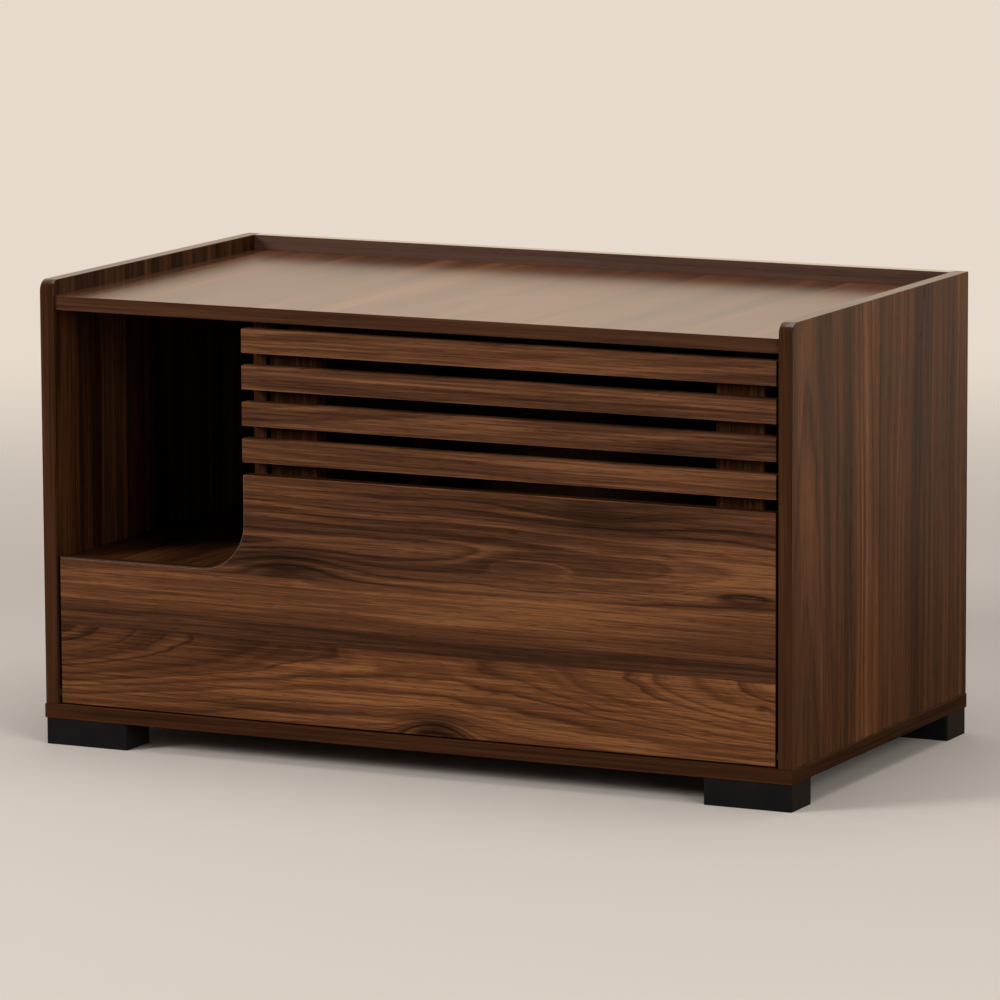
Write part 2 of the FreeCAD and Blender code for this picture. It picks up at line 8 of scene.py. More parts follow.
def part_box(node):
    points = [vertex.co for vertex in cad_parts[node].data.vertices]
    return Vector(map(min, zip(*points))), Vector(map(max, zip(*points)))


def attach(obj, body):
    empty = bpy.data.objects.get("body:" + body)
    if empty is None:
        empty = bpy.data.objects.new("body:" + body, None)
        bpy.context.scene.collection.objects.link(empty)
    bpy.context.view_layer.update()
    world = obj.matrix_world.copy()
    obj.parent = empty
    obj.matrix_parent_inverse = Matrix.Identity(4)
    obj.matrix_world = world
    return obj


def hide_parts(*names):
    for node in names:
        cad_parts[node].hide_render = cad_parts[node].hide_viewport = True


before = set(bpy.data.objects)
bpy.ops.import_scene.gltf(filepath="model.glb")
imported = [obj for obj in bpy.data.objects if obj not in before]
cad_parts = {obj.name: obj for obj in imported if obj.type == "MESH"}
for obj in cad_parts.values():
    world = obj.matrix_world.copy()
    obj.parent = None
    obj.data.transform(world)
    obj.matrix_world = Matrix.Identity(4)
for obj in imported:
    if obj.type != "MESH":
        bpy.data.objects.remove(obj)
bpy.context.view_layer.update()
print("frame loaded,", len(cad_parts), "nodes")


class Wire:
    # one socket of a node tree; sums and products of wires add Math nodes

    def __init__(self, tree, socket):
        self.tree = tree
        self.socket = socket

    def node(self, kind, settings=None, sockets=None, out=0):
        made = self.tree.nodes.new(kind)
        for key, value in (settings or {}).items():
            if key == "stops":
                for spare in range(len(value) - 2):
                    made.color_ramp.elements.new(0.5)
                for element, (place, colour) in zip(made.color_ramp.elements, value):
                    element.position = place
                    element.color = (*colour, 1)
            else:
                setattr(made, key, value)
        for key, value in (sockets or {}).items():
            if isinstance(value, Wire):
                self.tree.links.new(value.socket, made.inputs[key])
            else:
                made.inputs[key].default_value = value
        return Wire(self.tree, made.outputs[out])

    def maths(self, operation, first, second=0.0):
        return self.node("ShaderNodeMath", {"operation": operation}, {0: first, 1: second})

    def __add__(self, other):
        return self.maths("ADD", self, other)

    __radd__ = __add__

    def __sub__(self, other):
        return self.maths("SUBTRACT", self, other)

    def __rsub__(self, other):
        return self.maths("SUBTRACT", other, self)

    def __mul__(self, other):
        return self.maths("MULTIPLY", self, other)

    __rmul__ = __mul__

    def __truediv__(self, other):
        return self.maths("DIVIDE", self, other)

    def __pow__(self, other):
        return self.maths("POWER", self, other)

    def __gt__(self, other):
        return self.maths("GREATER_THAN", self, other)

    def noise(self, along, across, deep, detail=2.0, roughness=0.5):
        place = self.node("ShaderNodeCombineXYZ", None, {0: along, 1: across, 2: deep})
        return place.speckle(1.0, detail, roughness)

    def speckle(self, scale, detail, roughness=0.5):
        return self.node("ShaderNodeTexNoise", None,
                         {"Vector": self, "Scale": scale, "Detail": detail, "Roughness": roughness})

    def spread(self, low, high):
        # stretches a value so that low becomes 0 and high becomes 1
        return self.node("ShaderNodeMapRange", {"clamp": True}, {0: self, 1: low, 2: high})

    def bell(self):
        return self.maths("POWER", math.e, 0 - self * self)

    def ramp(self, stops):
        return self.node("ShaderNodeValToRGB", {"stops": stops}, {0: self})

    def blend(self, first, second):
        # two colours, mixed by this wire
        first, second = (side if isinstance(side, Wire) else (*side, 1) for side in (first, second))
        return self.node("ShaderNodeMix", {"data_type": "RGBA"}, {0: self, 6: first, 7: second}, 2)


def surface(name):
    material = bpy.data.materials.new(name)
    material.use_nodes = True
    tree = material.node_tree
    shader = tree.nodes["Principled BSDF"]
    place = Wire(tree, tree.nodes.new("ShaderNodeTexCoord").outputs["Object"])
    axes = {letter: place.node("ShaderNodeSeparateXYZ", None, {0: place}, number)
            for number, letter in enumerate("xyz")}
    return material, shader, place, axes


def feed(shader, name, value):
    if isinstance(value, Wire):
        value.tree.links.new(value.socket, shader.inputs[name])
    else:
        shader.inputs[name].default_value = value


def relief(shader, height, strength, distance):
    bump = {"Strength": strength, "Distance": distance, "Height": height}
    feed(shader, "Normal", height.node("ShaderNodeBump", None, bump))


# walnut print of the laminate
walnutTones = {
    "cool": [(0.0, (0.0140, 0.0056, 0.0030)), (0.42, (0.041, 0.0168, 0.0086)),
             (0.72, (0.084, 0.0350, 0.0172)), (1.0, (0.160, 0.0700, 0.0340))],
    "warm": [(0.0, (0.0165, 0.0060, 0.0026)), (0.42, (0.062, 0.0222, 0.0080)),
             (0.72, (0.122, 0.0440, 0.0150)), (1.0, (0.230, 0.0920, 0.0340))],
    # greyed tones that paint the pale sheen of the room mirrored on the rail
    "veiled": [(0.0, (0.030, 0.016, 0.0115)), (1.0, (0.128, 0.068, 0.050))],
    # pale greyish tones that paint a highlight on an edge catching the light
    "paintedHighlight": [(0.0, (0.090, 0.062, 0.045)), (1.0, (0.200, 0.150, 0.118))],
}
grainNoise = {
    # name: stretch along and across the grain, seed, detail, roughness, values that become 0 and 1
    "sway": (2.2, 9, 0.0, 2.0, 0.5, 0.0, 1.0),
    "ripple": (16, 60, 3.7, 2.0, 0.5, 0.0, 1.0),
    "uneven": (0.37, 0.6, 9.0, 1.0, 0.5, 0.0, 1.0),
    "figure": (1, 1.3, 0.0, 3.0, 0.6, 0.30, 0.70),
    "streak": (1.8, 190, 0.0, 3.0, 0.6, 0.30, 0.70),
    "fibre": (9, 640, 1.3, 2.0, 0.65, 0.30, 0.70),
    "pores": (46, 900, 7.1, 1.0, 0.5, 0.58, 0.72),
    "cloud": (1.7, 1, 5.0, 2.0, 0.5, 0.28, 0.72),
    "bandLines": (5, 330, 2.0, 3.0, 0.6, 0.25, 0.75),
    "bandCloud": (3, 40, 9.0, 2.0, 0.5, 0.3, 0.7),
}
printLook = {
    "ringWaver": 0.004, "ringRise": 5.0, "ringDrop": 0.86, "ringGain": 3.0, "ringLevel": 0.9,
    "knotRipple": 0.6, "knotSway": 0.3, "knotDark": 1.4, "knotFigure": 0.8, "bandSway": 0.01,
    "hueCloud": 0.3, "middleTone": 0.6, "fibreRough": 0.08, "poreRough": 0.12,
    "fibreHeight": 0.4, "figureHeight": 0.2, "depth": 0.00012,
}


def grain(name, along, across, seed=0.0):
    longwise, crosswise, shift, detail, roughness, low, high = grainNoise[name]
    noise = along.noise(along * longwise, across * crosswise, seed + shift, detail, roughness)
    return noise.spread(low, high)


def walnut(name, look, shared=printLook):
    material, shader, place, axes = surface(name)
    along, across = axes[look["along"]], axes[look["across"]]
    masks = [across > edge for edge in look["edges"]]

    def pick(key):
        # a value that changes from plank to plank
        values = look[key]
        total = values[0]
        for mask, before, after in zip(masks, values, values[1:]):
            if after != before:
                total = mask * (after - before) + total
        return total

    seed = pick("seed")
    run = along + seed
    sway = grain("sway", run, across, seed) - 0.5
    ripple = grain("ripple", run, across) - 0.5
    offset = across - pick("centre") + sway * look["sway"]
    depth = along * along * pick("bow") + along * pick("tilt") + pick("depth")
    depth = depth + ripple * shared["ringWaver"]
    rings = (offset * offset + depth * depth) ** 0.5 / pick("pitch")
    dark = 0.0
    for spotAlong, spotAcross, reachAlong, reachAcross, turns, shade in look["knots"]:
        farAlong = (along - spotAlong) / reachAlong
        farAcross = (across - spotAcross) / reachAcross
        far = (farAlong * farAlong + farAcross * farAcross) ** 0.5
        near = (far + ripple * shared["knotRipple"] + sway * shared["knotSway"]).bell()
        rings = rings + near * turns
        dark = near * near * shade + dark
    # growth lines follow the ring count, so they curve round knots and close in peaks
    uneven = grain("uneven", rings, run, seed) - 0.5
    rings = rings + ripple * look["ripple"] + uneven * look["uneven"]
    figure = grain("figure", rings, run, seed)
    beat = place.maths("FRACT", rings)
    vivid = (uneven * shared["ringGain"] + shared["ringLevel"]).spread(0.0, 1.0)
    growth = beat ** shared["ringRise"] * (1 - beat.spread(shared["ringDrop"], 1.0)) * vivid
    streak = grain("streak", run, across, seed)
    fibre = grain("fibre", run, across)
    pores = grain("pores", run, across)
    cloud = grain("cloud", run, across * look["cloudAcross"], seed)
    tone = (figure - 0.5) * pick("figure") + (streak - 0.5) * look["streak"]
    tone = tone + (fibre - 0.5) * look["fibre"] + (cloud - 0.5) * look["cloud"]
    tone = tone - pores * look["pores"] - growth * pick("growth")
    tone = tone - dark * (shared["knotDark"] - figure * shared["knotFigure"])
    # painted light: the tone rises along the board
    tone = tone + along * pick("slope") + pick("tone")
    for centre, reach, gain in look["bands"]:
        tone = tone + ((across + sway * shared["bandSway"] - centre) / reach).bell() * gain
    # painted highlight: the tone is lighter in a thin line along each listed arris, where the eased edge
    # catches the light
    for edge in look["arrises"]:
        tone = tone + ((across - edge) / look["highlightReach"]).bell() * look["highlightGain"]
    # lighter streaks are warmer
    glow = (tone - shared["middleTone"]) * look["glow"]
    hue = ((cloud - 0.5) * shared["hueCloud"] + glow + pick("warm")).spread(0.0, 1.0)
    cool, warm = (tone.ramp(walnutTones[tones]) for tones in (look["tones"], "warm"))
    feed(shader, "Base Color", hue.blend(cool, warm))
    dull = fibre * shared["fibreRough"] + pores * shared["poreRough"]
    feed(shader, "Roughness", dull * look["mottle"] + look["roughness"])
    feed(shader, "Specular IOR Level", look["gloss"])
    height = fibre * shared["fibreHeight"] + figure * shared["figureHeight"] - pores
    relief(shader, height, look["relief"], shared["depth"])
    return material


def planks(first, centres, **others):
    # values of a board whose planks share a cut; a list holds one value for each plank
    count = len(centres)
    shared = {"tilt": 0.05, "bow": 0.0, "depth": 0.05, "pitch": 0.012, "figure": 0.40, "growth": 0.36,
              "slope": 0.0}
    look = {key: [value] * count for key, value in shared.items()}
    look.update({
        "centre": centres, "seed": [first + 3.1 * number for number in range(count)],
        "knots": [], "bands": [], "arrises": [], "highlightReach": 0.0008, "highlightGain": 0.2,
        "sway": 0.03, "ripple": 0.2, "uneven": 1.4, "streak": 0.26, "fibre": 0.36, "pores": 0.2,
        "cloud": 0.3, "cloudAcross": 9, "glow": 0.0, "mottle": 1.0, "relief": 0.3,
        "roughness": 0.38, "gloss": 0.05, "tones": "cool",
    })
    look.update(others)
    return look


doorLook = planks(
    2.0, [0.128, 0.60, 0.235], along="x", across="z", edges=[0.129, 0.197], seed=[2.0, 14.0, 27.0],
    tilt=[0.0, 0.0, 0.05], bow=[-0.30, 0.0, 0.0], depth=[0.062, 0.0, 0.012],
    pitch=[0.0075, 0.010, 0.009], figure=[0.36, 0.30, 0.50], growth=[0.62, 0.15, 0.55],
    # painted light: the lower plank is lighter towards the right, where the light falls stronger
    tone=[0.745, 0.665, 0.70], warm=[0.62, 0.33, 0.20], slope=[0.24, 0.0, 0.0], glow=1.0,
    uneven=2.2, ripple=0.3, streak=0.18, fibre=0.32, cloud=0.26, cloudAcross=10, arrises=[0.302],
    # knot: place along and across, reach along and across, turns of the rings, darkness
    knots=[(0.030, 0.044, 0.040, 0.022, 3.0, 0.75), (0.3965, 0.1026, 0.012, 0.004, 0.6, 0.5),
           (-0.1445, 0.2136, 0.075, 0.017, 2.0, 0.36), (0.129, 0.2287, 0.060, 0.010, 1.2, 0.24),
           (0.210, 0.284, 0.085, 0.015, 1.3, 0.26), (0.375, 0.215, 0.050, 0.008, 0.9, 0.16)],
    # band: place across, reach, gain
    bands=[(0.180, 0.022, 0.10), (0.136, 0.016, -0.15)])
slatEdge = 0.0002
slatLook = planks(
    41.0, [0.25, 0.40, 0.30, 0.50], along="x", across="z", edges=[0.3465, 0.3845, 0.4225],
    tone=[0.78, 0.70, 0.71, 0.83], warm=[0.14, 0.1, 0.05, 0.14], glow=0.6, pitch=[0.010] * 4,
    # a painted highlight runs along the bottom edge of each slat
    arrises=[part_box("slat_%d" % number)[0].z + slatEdge for number in (4, 3, 2, 1)])
sideLook = planks(
    60.0, [-0.19, -0.30, 0.20, 0.40], along="z", across="y", edges=[-0.1216, -0.008, 0.1225],
    # painted reflection: the sides are lighter towards the top, where they mirror the bright room
    tone=[0.45, 0.555, 0.455, 0.445], warm=[0.75, 0.95, 0.8, 0.85], slope=[0.15] * 4, cloudAcross=17,
    cloud=0.55, streak=0.18, gloss=0.09)
# inner faces of the carcass: the same laminate as the sides, with a darker tone that paints the shade of the
# closed bay
shadedInsideLook = planks(
    83.0, [-0.16, 0.30, 0.05, 0.40, 0.20], along="z", across="y", edges=[-0.187, -0.118, -0.075, 0.06],
    tone=[0.28, 0.20, 0.41, 0.36, 0.34], warm=[0.9, 0.8, 0.9, 0.8, 0.7], cloudAcross=40, cloud=0.45)
topLook = planks(
    110.0, [-0.5, -0.24, -0.4, 0.0, 0.5, 0.24, 0.1], along="y", across="x",
    edges=[-0.30, -0.18, -0.06, 0.06, 0.18, 0.30], tone=[0.70, 0.64, 0.74, 0.66, 0.72, 0.64, 0.72],
    warm=[0.8, 0.65, 0.85, 0.6, 0.8, 0.7, 0.8], figure=[0.24] * 7, cloudAcross=26, cloud=0.45,
    streak=0.10, fibre=0.08, pores=0.04, relief=0.004, mottle=0.05, roughness=0.22, gloss=0.5)
shelfLook = planks(
    131.0, [-0.5, -0.24, -0.4], along="y", across="x", edges=[-0.35, -0.27],
    tone=[0.40, 0.46, 0.42], warm=[0.8, 0.8, 0.8], cloudAcross=26, cloud=0.4)
# the rail's grey, light tone is painted sheen: the pale room mirrored in it
railLook = planks(
    150.0, [0.9], along="x", across="z", edges=[], tone=[0.56], warm=[0.0], tones="veiled",
    figure=[0.25], growth=[0.2], streak=0.15, fibre=0.2)
# the battens' dark tone is painted shade: they stand in the shadow behind the slats
battenShadeLook = planks(
    170.0, [-0.4, 0.6], along="z", across="x", edges=[0.1], tone=[0.20, 0.20], warm=[1.0, 1.0],
    gloss=0.02)
baseLook = planks(
    190.0, [-0.16, 0.30, 0.05, 0.40], along="x", across="y", edges=[-0.12, 0.0, 0.12],
    tone=[0.47, 0.5, 0.44, 0.5], warm=[0.6, 0.5, 0.6, 0.4])

bandLook = {
    # finish: direction of the edge, the two other directions, tone, tones, warmth, roughness, gloss, coat
    "bandX": ("x", "yz", 0.27, "cool", 0.7, 0.42, 0.06, 0.0),
    # bandY is the darkest strip: painted shade on the base's side edges and the panels' bottom edges, which
    # stand in shadow
    "bandY": ("y", "xz", 0.21, "cool", 0.7, 0.42, 0.03, 0.0),
    "bandZ": ("z", "xy", 0.31, "cool", 0.5, 0.42, 0.06, 0.0),
    "topBoardX": ("x", "yz", 0.53, "cool", 0.05, 0.42, 0.06, 0.0),
    # the two upper strips are lighter than the same strip elsewhere: painted light and painted reflection on
    # upward-facing edges
    "upperX": ("x", "yz", 0.36, "cool", 0.7, 0.26, 0.5, 1.0),
    "upperY": ("y", "xz", 0.36, "cool", 0.7, 0.26, 0.5, 0.0),
    # the notch line's pale tones paint the highlight along the cat opening's front arris
    "notchLine": ("x", "yz", 0.6, "paintedHighlight", 0.0, 0.35, 0.3, 0.0),
}
bandGrain = {"gain": 0.42, "cloud": 0.24, "hueCloud": 0.2, "uneven": 0.1, "relief": 0.25,
             "depth": 0.0001}


def edgeBand(name, settings, look):
    # thin printed strip glued to the edges of the boards: straight faint lines along the edge
    along, others, level, tones, warmth, roughness, gloss, coat = settings
    material, shader, place, axes = surface(name)
    run = axes[along]
    across = axes[others[0]] + axes[others[1]]
    lines = grain("bandLines", run, across)
    cloud = grain("bandCloud", run, across)
    tone = (lines - 0.5) * look["gain"] + (cloud - 0.5) * look["cloud"] + level
    hue = cloud * look["hueCloud"] * warmth + warmth
    feed(shader, "Base Color", hue.blend(tone.ramp(walnutTones[tones]), tone.ramp(walnutTones["warm"])))
    feed(shader, "Roughness", (lines - 0.5) * look["uneven"] + roughness)
    feed(shader, "Specular IOR Level", gloss)
    feed(shader, "Coat Weight", coat)
    relief(shader, lines, look["relief"], look["depth"])
    return material


finishes = {
    "door": walnut("doorWalnut", doorLook),
    "slat": walnut("slatWalnut", slatLook),
    "side": walnut("sideWalnut", sideLook),
    "inside": walnut("insideWalnutShaded", shadedInsideLook),
    "top": walnut("topWalnut", topLook),
    "shelf": walnut("shelfWalnut", shelfLook),
    "rail": walnut("railWalnut", railLook),
    "batten": walnut("battenWalnutShaded", battenShadeLook),
    "base": walnut("baseWalnut", baseLook),
}
for name, settings in bandLook.items():
    finishes[name] = edgeBand(name + "Strip", settings, bandGrain)
print("walnut finishes made")

plasticLook = {"colour": (0.0062, 0.0064, 0.0070), "pale": (0.0108, 0.0110, 0.0118), "roughness": 0.46,
               "gloss": 0.12, "speck": 2600}
fittingLook = {"colour": (0.030, 0.018, 0.012), "pale": (0.050, 0.031, 0.022), "roughness": 0.42,
               "gloss": 0.3, "speck": 1800}
mouldLook = {"speckDetail": 1.0, "smear": 30.0, "smearDetail": 3.0, "share": 0.5, "low": 0.35, "high": 0.65,
             "uneven": 0.25, "relief": 0.3, "depth": 0.0001}


def mouldedPlastic(name, look, mould=mouldLook):
    material, shader, place, axes = surface(name)
    speck = place.speckle(look["speck"], mould["speckDetail"])
    smear = place.speckle(mould["smear"], mould["smearDetail"])
    shade = (speck * mould["share"] + smear * (1 - mould["share"])).spread(mould["low"], mould["high"])
    feed(shader, "Base Color", shade.blend(look["colour"], look["pale"]))
    feed(shader, "Roughness", (smear - 0.5) * mould["uneven"] + look["roughness"])
    feed(shader, "Specular IOR Level", look["gloss"])
    relief(shader, speck, mould["relief"], mould["depth"])
    return material


pinLook = {"colour": (0.11, 0.105, 0.10), "dull": (0.06, 0.057, 0.055), "roughness": 0.42,
           "scale": (900, 60, 60)}
steelLook = {"colour": (0.60, 0.61, 0.63), "dull": (0.42, 0.43, 0.45), "roughness": 0.30,
             "scale": (60, 60, 900)}
castLook = {"colour": (0.55, 0.55, 0.56), "dull": (0.36, 0.36, 0.37), "roughness": 0.45,
            "scale": (700, 700, 700)}
magnetLook = {"colour": (0.10, 0.10, 0.105), "dull": (0.05, 0.05, 0.052), "roughness": 0.5,
              "scale": (500, 500, 500)}
metalGrain = {"detail": 3.0, "low": 0.3, "high": 0.7, "uneven": 0.18, "relief": 0.12, "depth": 0.00008}


def plainMetal(name, look, brush=metalGrain):
    material, shader, place, axes = surface(name)
    scaled = place.node("ShaderNodeVectorMath", {"operation": "MULTIPLY"}, {0: place, 1: look["scale"]})
    shade = scaled.speckle(1.0, brush["detail"]).spread(brush["low"], brush["high"])
    feed(shader, "Base Color", shade.blend(look["dull"], look["colour"]))
    feed(shader, "Metallic", 1.0)
    feed(shader, "Roughness", (shade - 0.5) * brush["uneven"] + look["roughness"])
    relief(shader, shade, brush["relief"], brush["depth"])
    return material


beechLook = {"colour": (0.50, 0.32, 0.17), "dark": (0.36, 0.21, 0.10), "scale": (90, 900, 90), "detail": 3.0,
             "low": 0.3, "high": 0.7, "uneven": 0.1, "roughness": 0.6}


def scaledAxes(axes, scale):
    return [axes[letter] * value for letter, value in zip("xyz", scale)]


def beechWood(name, look):
    material, shader, place, axes = surface(name)
    streak = place.noise(*scaledAxes(axes, look["scale"]), look["detail"]).spread(look["low"], look["high"])
    feed(shader, "Base Color", streak.blend(look["dark"], look["colour"]))
    feed(shader, "Roughness", (streak - 0.5) * look["uneven"] + look["roughness"])
    return material


backLook = {"inner": (0.048, 0.023, 0.012), "innerDark": (0.022, 0.0105, 0.006),
            "outer": (0.125, 0.066, 0.034), "outerDark": (0.078, 0.039, 0.019),
            "fibre": (260, 40, 190), "fibreHarsh": 0.65, "cloud": (30, 1, 36), "cloudHarsh": 0.6,
            "detail": 4.0, "low": 0.3, "high": 0.7, "fibreShare": 0.7, "cloudShare": 0.3,
            "uneven": 0.15, "roughness": 0.55, "gloss": 0.1, "relief": 0.3, "depth": 0.0001}


def hardboard(name, look, middle):
    # thin fibre board: a dark printed face inside, made darker still as painted shade of the closed interior,
    # bare felted fibres outside
    material, shader, place, axes = surface(name)
    fibre = place.noise(*scaledAxes(axes, look["fibre"]), look["detail"], look["fibreHarsh"])
    cloud = place.noise(*scaledAxes(axes, look["cloud"]), look["detail"], look["cloudHarsh"])
    fibre, cloud = (noise.spread(look["low"], look["high"]) for noise in (fibre, cloud))
    shade = fibre * look["fibreShare"] + cloud * look["cloudShare"]
    inner = shade.blend(look["innerDark"], look["inner"])
    outer = shade.blend(look["outerDark"], look["outer"])
    feed(shader, "Base Color", (axes["y"] > middle).blend(inner, outer))
    feed(shader, "Roughness", (fibre - 0.5) * look["uneven"] + look["roughness"])
    feed(shader, "Specular IOR Level", look["gloss"])
    relief(shader, fibre, look["relief"], look["depth"])
    return material


backLow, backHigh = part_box("back_panel")
finishes.update({
    "foot": mouldedPlastic("blackPlastic", plasticLook),
    "fitting": mouldedPlastic("brownPlastic", fittingLook),
    "steel": plainMetal("zincSteel", steelLook),
    "pin": plainMetal("darkSteelPin", pinLook),
    "cast": plainMetal("castZinc", castLook),
    "magnet": plainMetal("magnetFerrite", magnetLook),
    "beech": beechWood("beechDowel", beechLook),
    "back": hardboard("backHardboard", backLook, (backLow.y + backHigh.y) / 2),
})
print("other finishes made")


# boards: welded copies of the solids with eased edges
boardLook = {"weld": 2e-6, "planar": 0.6, "arris": 0.0006, "steps": 2, "sharp": 35, "crease": 50,
             "holeRim": 0.12, "notchArris": 0.0013, "notchLow": 0.195, "notchRight": -0.188,
             "near": 1e-5, "faceShare": 0.9, "upperShare": 0.6, "flatShare": 0.9999}
boards = {
    # node: body, face finish, direction of the board's thickness
    "left_side_panel": ("carcass", "inside", "x"),
    "right_side_panel": ("carcass", "side", "x"),
    "base_board": ("carcass", "base", "z"),
    "top_board": ("carcass", "top", "z"),
    "gallery_rail": ("carcass", "rail", "y"),
    "divider_panel": ("carcass", "inside", "x"),
    "landing_shelf": ("carcass", "shelf", "z"),
    "door_panel": ("front", "door", "y"),
    "left_batten": ("front", "batten", "y"),
    "right_batten": ("front", "batten", "y"),
}


def joinedGroups(items, neighbours):
    # a dictionary keeps its order, so each run gives the same groups in the same order
    left = dict.fromkeys(items)
    while left:
        group, queue = [], [left.popitem()[0]]
        while queue:
            item = queue.pop()
            group.append(item)
            for other in neighbours(item):
                if other in left:
                    del left[other]
                    queue.append(other)
        yield group


def touchingEdges(edge):
    return [other for corner in edge.verts for other in corner.link_edges]


def touchingCorners(corner):
    return [edge.other_vert(corner) for edge in corner.link_edges]


def weldedCopy(node, look):
    shape = bmesh.new()
    shape.from_mesh(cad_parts[node].data)
    bmesh.ops.remove_doubles(shape, verts=shape.verts, dist=look["weld"])
    return shape


def sharpEdges(shape, look):
    return [edge for edge in shape.edges
            if len(edge.link_faces) == 2 and edge.calc_face_angle(0) > math.radians(look["sharp"])]


def outlineEdges(shape, look):
    # sharp edges in long connected runs: a board's outline and openings, not the rims of screw holes
    return [edge for chain in joinedGroups(sharpEdges(shape, look), touchingEdges)
            if sum(part.calc_length() for part in chain) > look["holeRim"] for edge in chain]


def notchEdges(shape, look):
    # the front edge of the cat opening: its wider arris carries a pale painted highlight, a thin light line
    front = min(corner.co.y for corner in shape.verts) + look["near"]
    return [edge for edge in sharpEdges(shape, look)
            if all(corner.co.y < front and corner.co.z > look["notchLow"] and corner.co.x < look["notchRight"]
                   for corner in edge.verts)]


def ease(shape, edges, width, look):
    return bmesh.ops.bevel(shape, geom=edges, offset=width, offset_type="OFFSET", segments=look["steps"],
                           profile=0.5, affect="EDGES", clamp_overlap=True)["faces"]


def boardFinish(node, face, flat, side, look):
    if side.material_index:
        return "notchLine"
    if abs(side.normal[flat]) > look["faceShare"]:
        # the left panel's outer face takes the side finish, its inner face the darker copy with painted shade
        return "side" if node == "left_side_panel" and side.normal.x < 0 else face
    # upward-facing edges of the sides and rail take the lighter strips with painted light
    if node in ("left_side_panel", "right_side_panel", "gallery_rail") and side.normal.z > look["upperShare"]:
        return "upperX" if node == "gallery_rail" else "upperY"
    # an edge strip runs along the direction that its face doesn't look in
    first, second = (axis for axis in range(3) if axis != flat)
    run = "XYZ"[first if abs(side.normal[second]) > abs(side.normal[first]) else second]
    return "topBoardX" if node == "top_board" and run == "X" else "band" + run


def shadeBoard(mesh, look):
    # normals stored in the solid don't fit the eased copy
    stored = mesh.attributes.get("custom_normal")
    if stored:
        mesh.attributes.remove(stored)
    mesh.set_sharp_from_angle(angle=math.radians(look["crease"]))
    for side in mesh.polygons:
        side.use_smooth = max(abs(value) for value in side.normal) < look["flatShare"]


def addPiece(name, mesh, body, slot, *nodes):
    piece = bpy.data.objects.new(name, mesh)
    bpy.context.scene.collection.objects.link(piece)
    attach(piece, body)
    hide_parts(*nodes)


for node, (body, face, thickness) in boards.items():
    shape = weldedCopy(node, boardLook)
    bmesh.ops.dissolve_limit(shape, angle_limit=math.radians(boardLook["planar"]), verts=shape.verts,
                             edges=shape.edges)
    if node == "door_panel":
        # the notch arris gets the strip with the painted highlight
        for side in ease(shape, notchEdges(shape, boardLook), boardLook["notchArris"], boardLook):
            side.material_index = 1
    ease(shape, outlineEdges(shape, boardLook), boardLook["arris"], boardLook)
    used = []
    for side in shape.faces:
        finish = boardFinish(node, face, "xyz".index(thickness), side, boardLook)
        if finish not in used:
            used.append(finish)
        side.material_index = used.index(finish)
    mesh = bpy.data.meshes.new(node.replace("_", "") + "Mesh")
    shape.to_mesh(mesh)
    shape.free()
    shadeBoard(mesh, boardLook)
    for finish in used:
        mesh.materials.append(finishes[finish])
    addPiece(node + "_board", mesh, body, "walnut_laminate", node)
    print("board", node, len(mesh.polygons), "faces")


# repeated pieces, grown by geometry nodes
growCrease = 35


def newTree(name, inputs):
    tree = bpy.data.node_groups.new(name, "GeometryNodeTree")
    tree.interface.new_socket("Geometry", in_out="INPUT", socket_type="NodeSocketGeometry")
    for label, kind in inputs.items():
        tree.interface.new_socket(label, in_out="INPUT", socket_type="NodeSocket" + kind)
    tree.interface.new_socket("Geometry", in_out="OUTPUT", socket_type="NodeSocketGeometry")
    start = tree.nodes.new("NodeGroupInput")
    return tree, {socket.name: Wire(tree, socket) for socket in start.outputs if socket.name}


def closeTree(last, material):
    solid = last.node("GeometryNodeRealizeInstances", None, {0: last})
    painted = solid.node("GeometryNodeSetMaterial", None, {"Geometry": solid, "Material": material})
    end = last.tree.nodes.new("NodeGroupOutput")
    last.tree.links.new(painted.socket, end.inputs[0])


def growMesh(name, tree, mesh, values):
    seed = bpy.data.objects.new(name, mesh)
    bpy.context.scene.collection.objects.link(seed)
    modifier = seed.modifiers.new(tree.name, "NODES")
    modifier.node_group = tree
    for item in tree.interface.items_tree:
        if item.item_type == "SOCKET" and item.in_out == "INPUT" and item.name in values:
            modifier[item.identifier] = values[item.name]
    graph = bpy.context.evaluated_depsgraph_get()
    grown = bpy.data.meshes.new_from_object(seed.evaluated_get(graph), preserve_all_data_layers=True,
                                            depsgraph=graph)
    bpy.data.objects.remove(seed)
    grown.name = name + "Mesh"
    grown.set_sharp_from_angle(angle=math.radians(growCrease))
    return grown


slatTree, slatIn = newTree("slatRow", {
    "Count": "Int", "Length": "Float", "Height": "Float", "Thickness": "Float", "Pitch": "Float",
    "Arris": "Float", "Arris Steps": "Int", "Start": "Vector", "Material": "Material"})
core = slatIn["Length"]
lineEnd = core.node("ShaderNodeCombineXYZ", None, {0: core})
line = core.node("GeometryNodeCurvePrimitiveLine", None, {"End": lineEnd})
section = core.node("GeometryNodeCurvePrimitiveQuadrilateral", None,
                    {"Width": slatIn["Thickness"], "Height": slatIn["Height"]})
eased = core.node("GeometryNodeFilletCurve", {"mode": "POLY"},
                  {"Curve": section, "Radius": slatIn["Arris"], "Count": slatIn["Arris Steps"],
                   "Limit Radius": True})
bar = core.node("GeometryNodeCurveToMesh", None,
                {"Curve": line, "Profile Curve": eased, "Fill Caps": True})
step = core.node("ShaderNodeCombineXYZ", None, {2: 0.0 - slatIn["Pitch"]})
rows = core.node("GeometryNodeMeshLine", None,
                 {"Count": slatIn["Count"], "Start Location": slatIn["Start"], "Offset": step})
slatBars = core.node("GeometryNodeInstanceOnPoints", None, {"Points": rows, "Instance": bar})
closeTree(slatBars, slatIn["Material"])

